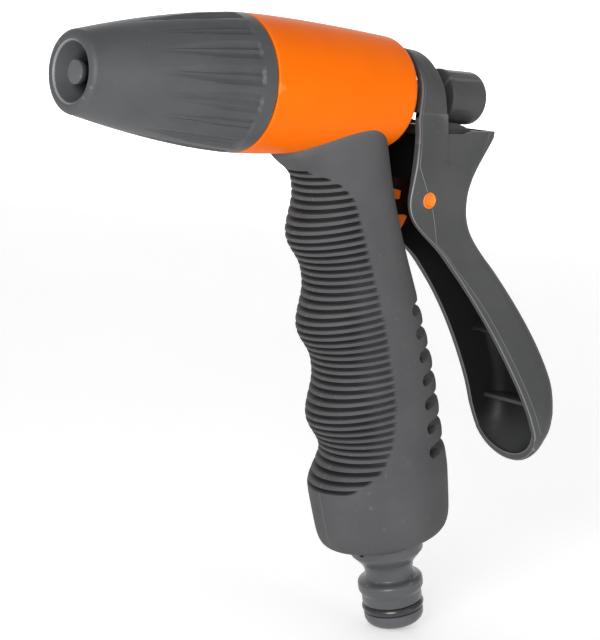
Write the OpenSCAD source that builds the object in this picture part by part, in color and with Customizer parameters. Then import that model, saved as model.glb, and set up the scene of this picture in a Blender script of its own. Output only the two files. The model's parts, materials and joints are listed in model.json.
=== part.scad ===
// Adjustable spray nozzle for a garden hose, with a rear palm lever.
// X runs forward along the spray axis, Z is up, Y is across.
// The origin is the middle of the inlet collar, on the axis of the inlet.

/* [Handle] */
// Length from the spray axis down to the inlet collar, along the handle
handle_len = 134; // [126:1:150]
// Backward lean of the handle from square to the spray axis, degrees
lean = 15; // [8:1:20]
// Half width of the grip across the hand, at its top
grip_half_w = 12.4; // [11.6:0.1:14]
// Half depth of the grip behind the handle axis, at its top
grip_rear = 11.2; // [10.6:0.1:13]
// Reach of the grip in front of the handle axis, in a finger groove
grip_front = 14.4; // [13.6:0.1:17]
// Height of the ridges between the finger grooves
finger_ridge = 4.2; // [2:0.1:6]
// Distance from one finger ridge to the next
finger_pitch = 24.3; // [21:0.1:27]
// Width of one fine rib and its groove
rib_pitch = 2.2; // [2:0.1:3]
// Depth of the fine grooves
rib_depth = 0.8; // [0.4:0.1:1.2]
// Radius of the water way in the handle
channel_r = 5.2; // [4:0.1:6]

/* [Barrel] */
// Length of the bare part of the barrel, behind the spray nozzle
barrel_len = 48; // [44:0.5:60]
// Radius of the barrel where it meets the spray nozzle
barrel_r = 16.9; // [16.2:0.1:19]
// How much smaller the radius is at the barrel's rear end
barrel_taper = 2.8; // [1.5:0.1:3.5]
// Radius of the rounded rear edge
barrel_edge_r = 2.6; // [1.5:0.1:3]
// Radius of the valve chamber
chamber_r = 9.5; // [7.9:0.1:10]
// Wall of the neck that the spray nozzle's skirt turns on
neck_wall = 1.5; // [1.2:0.1:1.9]
// Length of that neck
neck_len = 12; // [10:0.5:13]

/* [Spray nozzle] */
// Length of the spray nozzle
nozzle_len = 47.5; // [45:0.5:56]
// Radius at the front edge of the taper
nozzle_front_r = 9.9; // [9.4:0.1:11]
// Radius of the rounded front edge
nozzle_edge_r = 1.7; // [1:0.1:2]
// Flat rim between the front edge's rounding and the dish
front_flat = 1.1; // [0.6:0.1:2]
// Depth of the front dish
dish_depth = 6; // [4:0.5:8]
// Radius of the spray orifice
orifice_r = 3.9; // [3.6:0.1:4.4]
// Number of grip flutes round the nozzle
flutes = 16; // [12:1:18]
// Depth of a flute at its rear end
flute_depth = 1.1; // [0.6:0.1:1.4]
// Plain rim behind the flutes
flute_rim = 3.6; // [2.5:0.1:5]

/* [Valve] */
// Radius of the valve stem
stem_r = 2.2; // [2:0.1:2.6]
// Radius of the water way in the front tube
tube_bore_r = 6.4; // [5.8:0.1:6.8]
// Outer radius of the front tube inside the nozzle
tube_r = 8.6; // [8.2:0.1:9]
// Wire radius of the valve spring
spring_wire_r = 0.5; // [0.4:0.1:0.6]
// Number of turns of the valve spring
spring_turns = 4; // [3:1:5]

/* [Lever] */
// Distance of the pivot behind the crossing of the two axes
pivot_back = 25.6; // [24:0.2:28]
// Distance of the pivot below the spray axis
pivot_drop = 26.2; // [25:0.2:29]
// Radius of the pivot pin
pin_r = 2.1; // [1.8:0.1:2.4]
// Half width of the lever at the pivot
lever_half_w = 11.2; // [10.8:0.1:12]
// Half width of the lever's waist, below the pivot
waist_w = 7.5; // [7.2:0.1:9]
// Half width of the palm part near its tip
palm_w = 12.7; // [11:0.1:14]
// Thickness of the lever's walls
lever_wall = 2; // [1.6:0.1:2.4]
// Radius of the lever's rounded back corners
corner_r = 4.4; // [2.4:0.1:6]
// Radius of the hood over the stem
hood_r = 12; // [11.6:0.1:13]
// Length of the lever from the pivot down to its tip
lever_drop = 71; // [66:1:80]

/* [Adjusting knob] */
// Radius of the knob
knob_r = 6.7; // [6.3:0.1:7.4]
// Length of the knob's grip
knob_len = 13.4; // [11:0.1:18]
// Number of flats round the knob
knob_flats = 12; // [8:1:14]

/* [Hose inlet] */
// Radius of the collar that the hose coupling latches behind
collar_r = 8.7; // [8.5:0.05:8.9]
// Straight width of the collar
collar_land = 2; // [1.6:0.1:2.4]
// Radius of the neck above the collar
inlet_neck_r = 6.4; // [6:0.1:7]
// Outer radius of the inlet seal ring
inlet_ring_r = 8.35; // [8.2:0.05:8.5]
// Distance from the collar's middle to the inlet's tip
inlet_tip = 11; // [10.6:0.1:13]

/* [Hidden] */
$fn = 72;

// clearances
run = 0.05;      // running fit of turning and sliding parts, on the radius
fit = 0.1;       // between fixed pieces that seat in each other
gap = 0.3;       // between moving parts that pass each other
eps = 0.01;

// where the spray axis lies in the part's frame
head_x = handle_len * sin(lean);
head_z = handle_len * cos(lean);

// stations along the spray axis, from where the handle's axis crosses it
rear_x = -16.3;                        // rear face of the barrel
rim_x = rear_x + barrel_len;           // where the nozzle's skirt begins
neck_x = rim_x + neck_len;             // front end of the body's neck
tip_x = rim_x + nozzle_len;            // front of the nozzle
seat_x = 12;                           // step that the valve seat rests on
wall_x = -8;                           // rear wall of the valve chamber
gland_x = -12;                         // bottom of the gland nut's thread
bore_r = chamber_r + 2.2;              // bore that the front tube screws into
neck_r = bore_r + neck_wall;
seat_t = 1.8;
flange_t = 2.4;
thread_r = 5.95;                       // thread of the gland nut
screw_r = 1.2;                         // screw that holds the plug on the stem
plug_r = chamber_r - 1.3;              // valve plug, with water passing round it
washer_r = plug_r - 1.2;
hole_r = washer_r - 2;                 // hole in the valve seat
gland_r = stem_r + 2.4;                // pocket of the stem's seal ring
spring_r = stem_r + 1.7;
dish_r = nozzle_front_r - nozzle_edge_r - front_flat;
tube_end = tip_x - 15;                 // front end of the front tube
ring_x = tube_end - 7;                 // seal ring between nozzle and tube
ring_w = 0.9;                          // half thickness of that ring

// the lever's stations
hood_front = rear_x - 2.6;
fork_r = 2.4;                          // rounded crest of the fork that pulls the stem
fork_x = -pivot_back;                  // the crest lies straight above the pivot
hood_rear = fork_x + 1.1;
plate_x = fork_x - fork_r;
washer_t = 0.8;
knob_neck = 5.2;
knob_top = -knob_r - 0.5;              // top of the lever's wall under the knob
knob_x = plate_x - gap - washer_t - knob_neck;   // front of the knob's grip
knob_end = knob_x - knob_len;

grip_end = handle_len - 12;            // bottom of the grip's side
pin_recess = 1.2;                      // how far the pin's ends lie below the cheeks
boss_r = 9.7;
boss_top = grip_end - 0.3;             // where the boss comes out of the grip
notches = 7;                           // cuts across the back of the grip
notch_from = 58.8;
notch_pitch = 6.3;
notch_half = 1.2;
notch_depth = 6.4;
sleeve_min = 1;                        // thinnest sleeve left over the core
core_top_r = grip_rear - 1.8;          // depth of the handle core, at its top and low end
core_low_r = core_top_r + 3.4;
core_flat = (grip_half_w - 4.5) / core_top_r;  // width of the core over its depth
core_end = grip_end - 6;
lug_play = 1.7;                                // the cheeks draw in below the pivot
lug_half = lever_half_w - lever_wall - lug_play;
socket_r = 8.5;
socket_top = core_end - 15.5;
seal_t = 1.6;
ring_half = 1.2;                       // half width of the inlet's ring groove
groove_r = inlet_ring_r - 2 * ring_half;

function smooth(t) = let(s = min(1, max(0, t))) s * s * (3 - 2 * s);
function mix(a, b, t) = a + (b - a) * t;
function bezier(p, t) = pow(1 - t, 3) * p[0] + 3 * t * pow(1 - t, 2) * p[1]
                      + 3 * t * t * (1 - t) * p[2] + pow(t, 3) * p[3];
function curve(p, n) = [for (i = [0:n - 1]) bezier(p, i / n)];
function arc(c, r, a, b, n) = [for (i = [0:n]) let(t = mix(a, b, i / n)) c + r * [cos(t), sin(t)]];

// radius of the barrel at a station x
function barrel_at(x) = barrel_r - barrel_taper * pow(max(0, (rim_x - 4 - x) / (barrel_len - 4)), 1.5);
// radius of the nozzle at a station x
function nozzle_at(x) = barrel_r - (barrel_r - nozzle_front_r)
                      * pow(max(0, (x - rim_x) / (nozzle_len - nozzle_edge_r)), 1.57);

// Children are placed with X along the spray axis, from the crossing of the axes
module at_head() { translate([head_x, 0, head_z]) children(); }

// Children are placed with -Z down the handle's axis, from the crossing of the axes
module down_handle() { at_head() rotate([0, lean, 0]) children(); }

// A shape turned about the spray axis from a [station, radius] outline
module turned(outline) {
    rotate([0, 90, 0]) rotate_extrude() polygon([for (p = outline) [p[1], p[0]]]);
}

// A straight cylinder along the spray axis from station a to station b
module rod(a, b, r) { translate([a, 0, 0]) rotate([0, 90, 0]) cylinder(h = b - a, r = r); }

// A ring of round section round the spray axis
module ring_seal(x, r, w) {
    translate([x, 0, 0]) rotate([0, 90, 0]) rotate_extrude() translate([r, 0]) circle(r = w, $fn = 24);
}

/* ---------- body ---------- */

module barrel_outline() {
    steps = 12;
    edge_x = rear_x + barrel_edge_r;
    edge_at = barrel_at(edge_x) - barrel_edge_r;
    turned(concat(
        [[rear_x, 0]],
        [for (i = [0:5]) let(a = 90 * i / 5)
            [edge_x - barrel_edge_r * cos(a), edge_at + barrel_edge_r * sin(a)]],
        [for (i = [1:steps]) let(x = mix(edge_x, rim_x - gap, i / steps)) [x, barrel_at(x)]],
        [[rim_x - gap, neck_r], [neck_x - 1, neck_r], [neck_x, neck_r - 1], [neck_x, 0]]));
}

module lug_outline(r) {
    hull() {
        translate([-pivot_back, -pivot_drop]) circle(r = r, $fn = 32);
        translate([-8, -24]) circle(r = r, $fn = 32);
        translate([-12, -34]) circle(r = r, $fn = 32);
    }
}

// Lug that carries the lever's pivot, with a cored pocket in each side
module pivot_lug() {
    rim = 1.6;
    rotate([90, 0, 0]) difference() {
        linear_extrude(2 * lug_half, center = true) lug_outline(5);
        for (s = [-1, 1]) translate([0, 0, s * (lug_half + 1)])
            linear_extrude(2 * lug_half - 1, center = true) difference() {
                lug_outline(5 - rim);
                translate([-pivot_back, -pivot_drop]) circle(r = pin_r + rim);
            }
    }
}

module handle_core() {
    rotate([180, 0, 0]) scale([1, core_flat, 1]) cylinder(h = core_end, r1 = core_top_r, r2 = core_low_r);
}

module body() color("darkorange") {
    difference() {
        union() {
            at_head() barrel_outline();
            down_handle() handle_core();
            at_head() pivot_lug();
        }
        at_head() {
            rod(wall_x, seat_x + 1, chamber_r);
            rod(seat_x, neck_x + 1, bore_r);
            rod(rear_x - 1, gland_x, thread_r);
            rod(gland_x - 1, gland_x + 2.6, gland_r);
            rod(gland_x, wall_x + 1, stem_r + 0.4);
            translate([-pivot_back, 0, -pivot_drop]) rotate([90, 0, 0])
                cylinder(h = 3 * lever_half_w, r = pin_r, center = true);
        }
        down_handle() {
            translate([0, 0, -core_end]) cylinder(h = core_end, r = channel_r);
            translate([0, 0, -core_end - 1]) cylinder(h = core_end - socket_top + 1, r = socket_r);
        }
    }
}

/* ---------- grip sleeve ---------- */

grip_sides = 32;
grip_top = saddle(-grip_rear, 0) + 2;  // first full section of the grip
rib_from = max(22, grip_top + 0.3);
rib_to = 99;
ribs = floor((rib_to - rib_from) / rib_pitch);

function finger(v) = pow((1 + cos(360 * (v - 34) / finger_pitch)) / 2, 1.3);
function bell(v) = smooth((v - 93) / 9);
function near_foot(v) = max(0, (v - grip_end + 18) / 18);
function foot(v) = 1 - 0.07 * near_foot(v) - 0.2 * pow(near_foot(v), 8);
// the underside rises, most at the front
function lift(v, c) = (1.4 + 0.5 * c) * pow(near_foot(v), 6);
function flare(v) = 2.6 * (1 - smooth((v - 12) / 8));
function front_at(v) = foot(v) * (flare(v) + grip_front
    + max(finger_ridge * finger(min(v, 93)) * (1 - bell(v)), 5.8 * bell(v)));
function rear_at(v) = foot(v) * (grip_rear + 8.5 * smooth((v - 22) / 62));
function side_at(v) = foot(v) * (grip_half_w + 0.024 * (v - 15) + 1.8 * smooth((v - 65) / 40));

// How far forward the fine grooves end, as a share of the front reach
function rib_edge(v) = mix(0.44, 0.1, smooth((v - 22) / 50)) + 0.9 * smooth((v - 84) / 17)
                     + 0.6 * smooth((28 - v) / 8);
function cut(c, v, g) = g * rib_depth * smooth((c - rib_edge(v)) * 8);

// How deep a cut across the back is at depth v, where the sleeve over the core allows it
function notch_at(v) = let(i = min(notches - 1, max(0, round((v - notch_from) / notch_pitch))),
    far = abs(v - notch_from - i * notch_pitch))
    min(notch_depth, rear_at(v) - core_r(v) - sleeve_min) * min(1, max(0, (notch_half + 0.5 - far) / 0.6));

// One point of the grip: angle a from the front, depth v, g is 1 in a groove
function grip_point(a, v, g) = let(
    c = cos(a), s = sin(a), d = cut(c, v, g),
    u = c > 0 ? (front_at(v) - d) * c : max(rear_at(v) * c, notch_at(v) - rear_at(v)))
    [u, (side_at(v) - d) * s, lift(v, c) - v];

// The sleeve's top edge follows the barrel
function saddle(u, y) = let(r = barrel_at(u - 4) + gap) (sqrt(r * r - y * y) - u * sin(lean)) / cos(lean);
function on_saddle(p) = [p[0], p[1], -saddle(p[0], p[1])];
function below_saddle(a) = let(p = grip_point(a, 13, 0))
    grip_point(a, mix(saddle(p[0], p[1]), grip_top, 0.5), 0);
function core_r(v) = mix(core_top_r, core_low_r, v / core_end) + 2 * fit;
function inner_point(a, v) = [core_r(v) * cos(a), core_flat * core_r(v) * sin(a), -v];

angles = [for (i = [0:grip_sides - 1]) 360 * i / grip_sides];
// each level is a depth and whether it is the bottom of a groove
levels = concat([[grip_top, 0]],
    [for (i = [0:ribs - 1], k = [[0.2, 0], [0.5, 1], [0.8, 0]]) [rib_from + (i + k[0]) * rib_pitch, k[1]]],
    [[101, 0], [104, 0], [108, 0]], [for (d = [9, 5, 3, 1.8, 0.9, 0.3, 0]) [grip_end - d, 0]]);

module grip_sleeve() color("dimgray") down_handle() {
    rings = concat(
        [[for (a = angles) on_saddle(grip_point(a, 13, 0))]],
        [[for (a = angles) below_saddle(a)]],
        [for (l = levels) [for (a = angles) grip_point(a, l[0], l[1])]],
        [[for (a = angles) [(boss_r + fit) * cos(a), (boss_r + fit) * sin(a), -boss_top]]],
        [[for (a = angles) [(boss_r + fit) * cos(a), (boss_r + fit) * sin(a), -core_end - fit]]],
        [[for (a = angles) inner_point(a, core_end + fit)]],
        [[for (a = angles) on_saddle(inner_point(a, grip_top))]]);
    n = grip_sides;
    m = len(rings);
    difference() {
        polyhedron(points = [for (r = rings, p = r) p],
            faces = [for (j = [0:m - 1], i = [0:n - 1], h = [0, 1])
                let(a = j * n + i, b = j * n + (i + 1) % n,
                    c = ((j + 1) % m) * n + (i + 1) % n, d = ((j + 1) % m) * n + i)
                h == 0 ? [a, b, c] : [a, c, d]]);
        // slot that the pivot lug comes out through
        rotate([0, -lean, 0]) translate([-40, -lug_half - fit, -40]) cube([34, 2 * (lug_half + fit), 23]);
    }
}

/* ---------- front tube, pin and nozzle ---------- */

module front_tube() color("dimgray") at_head() difference() {
    turned([[seat_x + seat_t + fit, 0], [seat_x + seat_t + fit, bore_r - fit], [neck_x + fit, bore_r - fit],
            [neck_x + fit, neck_r - 0.2], [neck_x + flange_t, neck_r - 0.2], [neck_x + flange_t, tube_r],
            [tube_end - 1, tube_r], [tube_end, tube_r - 1], [tube_end, 0]]);
    rod(seat_x, tube_end + 1, tube_bore_r);
}

// Pin in the middle of the jet, held in the front tube by a three-armed spider
module jet_pin() color("gray") at_head() {
    hub_x = tube_end - 7;
    difference() {
        union() {
            turned([[hub_x - 2, 0], [hub_x - 1, 2.2], [hub_x + 5, 2.2], [tip_x - 6, 1.9], [tip_x - 3, 2.85],
                    [tip_x - 1.3, 2.85], [tip_x - 1.3, 0]]);
            difference() {
                rod(hub_x, hub_x + 4, tube_bore_r - run);
                rod(hub_x - 1, hub_x + 5, tube_bore_r - 1.2);
            }
            for (a = [0:120:240])
                rotate([a, 0, 0]) translate([hub_x, -0.6, 1.5]) cube([4, 1.2, tube_bore_r - 2.2]);
        }
    }
}

module flute(x0, x1) {
    r0 = nozzle_at(x0);
    r1 = nozzle_at(x1);
    cut_r = 5;
    slope = atan((r1 - flute_depth - r0) / (x0 - x1));
    translate([x1, 0, r1 - flute_depth + cut_r]) rotate([0, 90 + slope, 0])
        cylinder(h = 2 * (x0 - x1), r = cut_r, $fn = 48);
}

module spray_nozzle() color("dimgray") at_head() difference() {
    steps = 16;
    edge_x = tip_x - nozzle_edge_r;
    turned(concat(
        [[rim_x, neck_r + gap]],
        [for (i = [0:steps]) let(x = mix(rim_x, edge_x, i / steps)) [x, nozzle_at(x)]],
        [for (i = [1:6]) let(a = 90 - 90 * i / 6)
            [edge_x + nozzle_edge_r * cos(a), nozzle_front_r - nozzle_edge_r + nozzle_edge_r * sin(a)]],
        [[tip_x, dish_r + 0.4], [tip_x - 0.4, dish_r], [tip_x - 1.6, dish_r - 0.3],
         [tip_x - dish_depth, orifice_r], [tip_x - dish_depth - 2.5, orifice_r],
         [tube_end + 1.2, tube_r + run],
         [ring_x + ring_w + run, tube_r + run], [ring_x + ring_w + run, tube_r + 2 * ring_w],
         [ring_x - ring_w - run, tube_r + 2 * ring_w], [ring_x - ring_w - run, tube_r + run],
         [neck_x + flange_t + gap + 1, tube_r + run], [neck_x + flange_t + gap, tube_r + 2],
         [neck_x + flange_t + gap, neck_r + gap]]));
    for (i = [0:flutes - 1]) rotate([8 + 360 * i / flutes, 0, 0]) flute(tip_x - 18, rim_x + flute_rim);
}

module nozzle_o_ring() color("black") at_head() ring_seal(ring_x, tube_r + ring_w, ring_w - 0.03);

/* ---------- valve ---------- */

module valve_seat() color("silver") at_head() difference() {
    rod(seat_x + eps, seat_x + seat_t, bore_r - fit);
    rod(seat_x - 1, seat_x + seat_t + 1, hole_r);
}

module valve_washer() color("black") at_head() difference() {
    rod(seat_x - 1.8, seat_x - eps, washer_r);
    rod(seat_x - 3, seat_x + 1, stem_r - 0.5);
}

module valve_plug() color("gray") at_head() difference() {
    turned([[seat_x - 7, 0], [seat_x - 7, plug_r - 3.2], [seat_x - 5.4, plug_r], [seat_x - 0.6, plug_r],
            [seat_x - 0.6, washer_r + fit], [seat_x - 1.8, washer_r + fit], [seat_x - 1.8, 0]]);
    rod(seat_x - 8, seat_x, stem_r + eps);
}

module plug_screw() color("silver") at_head() {
    rod(seat_x + eps, seat_x + 1.8, stem_r + 1.2);
    rod(seat_x - 6, seat_x + 0.5, screw_r - eps);
}

module valve_stem() color("goldenrod") at_head() difference() {
    turned([[knob_end + 4, 0], [knob_end + 4, stem_r - 0.6], [knob_end + 4.6, stem_r], [seat_x - 1.8, stem_r],
            [seat_x - 1.8, 0]]);
    rod(seat_x - 7, seat_x, screw_r);
}

// Coil of round wire between the plug and the washer
module valve_spring() color("lightgray") at_head() {
    x0 = wall_x + 0.9 + spring_wire_r;
    x1 = seat_x - 7.1 - spring_wire_r;
    around = 18;
    sides = 8;
    count = spring_turns * around;
    pts = [for (i = [0:count], k = [0:sides - 1]) let(
        t = 360 * i / around, w = 360 * k / sides, q = spring_r + spring_wire_r * cos(w))
        [mix(x0, x1, i / count) + spring_wire_r * sin(w), q * cos(t), q * sin(t)]];
    polyhedron(points = pts, faces = concat(
        [[for (k = [0:sides - 1]) k]],
        [for (i = [0:count - 1], k = [0:sides - 1], h = [0, 1]) let(
            a = i * sides + k, b = i * sides + (k + 1) % sides, c = b + sides, d = a + sides)
            h == 0 ? [a, c, b] : [a, d, c]],
        [[for (k = [sides - 1:-1:0]) count * sides + k]]));
}

module spring_washer() color("silver") at_head() difference() {
    rod(wall_x + eps, wall_x + 0.8, chamber_r - 1.5);
    rod(wall_x - 1, wall_x + 2, stem_r + 0.3);
}

module gland_o_ring() color("black") at_head()
    ring_seal(gland_x + 1.3, (stem_r + gland_r) / 2 - run, (gland_r - stem_r) / 2 - 2 * run);

module gland_nut() color("goldenrod") at_head() difference() {
    union() {
        rod(rear_x - eps, gland_x - 0.1, thread_r - run);
        translate([rear_x - 2, 0, 0]) rotate([0, 90, 0]) cylinder(h = 2 - eps, r = 7, $fn = 6);
    }
    rod(rear_x - 3, 0, stem_r + run);
}

/* ---------- lever ---------- */

tip_z = -pivot_drop - lever_drop - 1.4;
lever_scale = lever_drop / 71;
// a point given by its distance behind the pivot and its height, with the palm part at the lever's length
function at_lever(p) = let(palm = max(0, -38 - p[1]) * (lever_scale - 1)) [fork_x + p[0] - palm, p[1] - palm];

// rear outline of the lever from the spur down to the tip, as smooth curves
rear_curve = [for (p = concat(
    curve([[-21.8, knob_top - 2.8], [-19.9, -14.5], [-15.8, -19.5], [-15.5, -26]], 6),
    curve([[-15.5, -26], [-15.3, -33.2], [-22.4, -37.4], [-29.9, -43.7]], 6),
    curve([[-29.9, -43.7], [-42.2, -55.7], [-55.4, -72], [-55.5, -83.9]], 8),
    curve([[-55.5, -83.9], [-55.5, -88], [-54.3, -94.5], [-51, -98.6]], 5), [[-51, -98.6]])) at_lever(p)];

// front edges of the cheeks, from the tip up to the hood
front_curve = concat([for (p = concat(
    curve([[-49.8, -98.6], [-48.6, -96], [-47.8, -93], [-46, -89]], 3),
    curve([[-46, -89], [-43.7, -84.5], [-42.4, -81.5], [-39.8, -77]], 3),
    curve([[-39.8, -77], [-33.3, -66.5], [-25.2, -55], [-12.6, -43]], 6),
    curve([[-12.6, -43], [-5.4, -36], [6.1, -33.5], [6.1, -26]], 6),
    curve([[6.1, -26], [5.6, -18], [4.6, -12], [hood_front - fork_x, -6]], 4))) at_lever(p)],
    [[hood_front, -6]]);

function shifted(path, d) = [for (i = [0:len(path) - 1]) let(
    a = path[max(0, i - 1)], b = path[min(len(path) - 1, i + 1)], t = (b - a) / norm(b - a))
    path[i] + d * [-t[1], t[0]]];

// side view of the lever, hood included
module lever_side() {
    polygon(concat(front_curve, [[hood_front, hood_r + 1], [hood_rear, hood_r + 1], [hood_rear - 3.4, -4],
        [plate_x - 8.5, knob_top - 0.6], [plate_x - 11, knob_top - 1.6], [plate_x - 17.6, knob_top - 0.8],
        [plate_x - 18.8, knob_top - 1.3]], rear_curve));
}

// side view of the hollow between the cheeks
module lever_hollow() {
    inner = shifted(rear_curve, lever_wall);
    roof = knob_top - lever_wall - 0.6;
    polygon(concat([[0, -130], [0, hood_r + 2], [plate_x - 6, hood_r + 2], [plate_x - 6, roof],
        [plate_x - 12.5, roof - 1.6]], [for (i = [2:len(inner) - 1]) inner[i]], [[-60, -130]]));
}

// the ribs in its hollow: the height of each, the slope of the wall there and the depth from its back
ribs_at = [[-42.2, 47, 5.1], [-57.2, 36, 6.7], [-79.8, 8, 7.5]];
rib_t = 1.4;

// half width of the lever at a height z
function lever_w(z) = z > -14 ? mix(hood_r, lever_half_w, smooth(-z / 14))
    : mix(lever_half_w, waist_w, smooth((-pivot_drop - z) / 18))
      + (palm_w - waist_w) * pow(min(1, max(0, (-42 - z) / 42)), 1.2);

// half width with the tip's rounding
round_z = tip_z + 10.5;
function half_at(z) = z > round_z ? lever_w(z)
    : lever_w(round_z) * sqrt(max(0, 1 - pow((round_z - z) / (round_z - tip_z), 2)));

// front view of the lever, drawn d inside its outline
module lever_front(d) {
    zs = [for (i = [0:16]) mix(0, round_z, i / 16)];
    w = lever_w(round_z);
    right = concat([for (z = zs) [lever_w(z) - d, z]],
        [for (i = [1:8]) let(a = 90 * i / 8) [(w - d) * cos(a), round_z - (round_z - tip_z - d) * sin(a)]]);
    polygon(concat(right, [for (i = [len(right) - 2:-1:0]) [-right[i][0], right[i][1]]],
        arc([0, 0], hood_r - d, 180, 0, 24)));
}

// the back corners are rounder round the tip
function corner_at(z) = min(half_at(z),
    corner_r + 2.1 * smooth((tip_z + 24.6 - z) / 12) + 1.5 * smooth((tip_z + 12.6 - z) / 8));

// view of the lever square to its rounded back corners, drawn d inside its outline
module lever_corner(d) {
    rear = [for (p = rear_curve) let(w = half_at(p[1]), r = corner_at(p[1]))
        [(p[0] + 2 * r - w) * cos(45) - r + d, p[1]]];
    polygon(concat([[40, tip_z - 1], [40, hood_r + 2], [rear[0][0], hood_r + 2]], rear,
        [[rear[len(rear) - 1][0], tip_z - 1]]));
}

module across(half) { rotate([90, 0, 0]) linear_extrude(2 * half, center = true) children(); }
module along() { rotate([90, 0, 90]) linear_extrude(120, center = true) children(); }

// What the three views of the lever hold in common, drawn d inside their outlines
module lever_shape(d) intersection() {
    across(hood_r + 1) children();
    translate([-50, 0, 0]) along() lever_front(d);
    rotate([0, 0, 45]) across(90) lever_corner(d);
    rotate([0, 0, -45]) across(90) lever_corner(d);
}

// The cheek is bent inward in front of a crease that runs down through the pivot
module ear_cut() {
    translate([fork_x, lever_half_w, -pivot_drop]) rotate([0, 28.3, 0]) rotate([0, 0, -8])
        translate([0, 0, -22]) cube([20, 5, 44]);
}

module lever() color("dimgray") at_head() difference() {
    union() {
        difference() {
            lever_shape(0) lever_side();
            lever_shape(lever_wall) lever_hollow();
        }
        // fork that the knob's washer bears on
        intersection() {
            across(hood_r) union() {
                translate([fork_x, 0]) circle(r = fork_r);
                translate([fork_x - fork_r, -4.4]) square([2 * fork_r, 4.4]);
            }
            rod(fork_x - 5, fork_x + 5, hood_r - lever_wall / 2);
        }
        // stiffening ribs square to the back wall
        for (r = ribs_at) let(z = at_lever([0, r[0]])[1]) intersection() {
            lever_shape(lever_wall / 2) lever_side();
            translate([lookup(z, [for (p = rear_curve) [p[1], p[0]]]), 0, z]) rotate([0, r[1], 0])
                translate([0, -hood_r, -rib_t / 2]) cube([r[2], 2 * hood_r, rib_t]);
        }
    }
    for (s = [0, 1]) mirror([0, s, 0]) ear_cut();
    translate([-pivot_back, 0, -pivot_drop]) rotate([90, 0, 0])
        cylinder(h = 3 * hood_r, r = pin_r + run, center = true);
    // slot for the stem, open at the top
    rod(plate_x - 1, plate_x + 8, stem_r + 0.5);
    translate([plate_x - 1, -stem_r - 0.5, 0]) cube([9, 2 * stem_r + 1, 6]);
}

module pivot_pin() color("orange") at_head() translate([-pivot_back, 0, -pivot_drop]) rotate([90, 0, 0])
    cylinder(h = 2 * (lever_half_w - pin_recess), r = pin_r - 0.02, center = true);

/* ---------- adjusting knob ---------- */

module knob_washer() color("silver") at_head() difference() {
    rod(plate_x - gap - washer_t, plate_x - gap, 3.9);
    rod(plate_x - 4, plate_x + 1, stem_r + run);
}

module adjusting_knob() color("dimgray") at_head() difference() {
    turned([[knob_end, 0], [knob_end, knob_r - 2], [knob_end + 0.6, knob_r - 0.8], [knob_end + 2, knob_r],
            [knob_x - 0.8, knob_r], [knob_x, knob_r - 0.8], [knob_x, 3.2],
            [knob_x + knob_neck - 0.02, 3.2], [knob_x + knob_neck - 0.02, 0]]);
    rod(knob_end + 3.6, knob_x + knob_neck + 1, stem_r + run);
    flat_r = 5;
    for (i = [0:knob_flats - 1]) rotate([360 * i / knob_flats, 0, 0])
        translate([knob_end + 1.5, 0, knob_r + flat_r - 0.35]) rotate([0, 90, 0])
            cylinder(h = knob_len, r = flat_r, $fn = 48);
}

/* ---------- hose inlet ---------- */

module inlet_connector() color("dimgray") difference() {
    e = inlet_tip;
    rotate([0, lean, 0]) rotate_extrude() polygon([
        [0, handle_len - socket_top - seal_t - 2 * fit],
        [socket_r - fit, handle_len - socket_top - seal_t - 2 * fit],
        [socket_r - fit, handle_len - core_end - 2 * fit], [boss_r, handle_len - core_end - 2 * fit],
        [boss_r, 9.4], [inlet_neck_r + 1.7, 7.6], [inlet_neck_r + 0.7, 6.4], [inlet_neck_r + 0.2, 5.2],
        [inlet_neck_r, 4], [inlet_neck_r, 2.4], [inlet_neck_r + 0.5, 2],
        [collar_r - 0.8, 1.8], [collar_r - 0.2, 1.4], [collar_r, collar_land / 2],
        [collar_r, -collar_land / 2], [collar_r - 0.2, -1.4], [collar_r - 0.7, -2.2],
        [inlet_ring_r - 0.35, -2.6], [inlet_ring_r - 0.35, -4.8],
        [groove_r, -4.8], [groove_r, -4.9 - 2 * ring_half],
        [inlet_ring_r - 0.4, -4.9 - 2 * ring_half], [inlet_ring_r - 0.4, 1.9 - e],
        [inlet_ring_r - 0.8, 0.9 - e], [inlet_ring_r - 1.7, -e], [0, -e]]);
    rotate([0, lean, 0]) translate([0, 0, -e - 1]) cylinder(h = handle_len, r = groove_r - 1.15);
}

module inlet_seal() color("black") down_handle() translate([0, 0, -socket_top - fit - seal_t]) difference() {
    cylinder(h = seal_t, r = socket_r - fit);
    translate([0, 0, -1]) cylinder(h = seal_t + 2, r = channel_r);
}

module inlet_o_ring() color("black") rotate([0, lean, 0]) translate([0, 0, -4.85 - ring_half])
    rotate_extrude() translate([inlet_ring_r - ring_half + 0.02, 0]) circle(r = ring_half - 0.04, $fn = 24);

body();
grip_sleeve();
front_tube();
jet_pin();
spray_nozzle();
nozzle_o_ring();
valve_seat();
valve_washer();
valve_plug();
plug_screw();
valve_stem();
valve_spring();
spring_washer();
gland_o_ring();
gland_nut();
lever();
pivot_pin();
knob_washer();
adjusting_knob();
inlet_connector();
inlet_seal();
inlet_o_ring();
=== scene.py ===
"""Looks of a garden hose spray nozzle: orange body, ribbed rubber grip, twist spray head, palm lever."""

import json
import math

import bmesh
import bpy
from mathutils import Matrix, Vector


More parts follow.
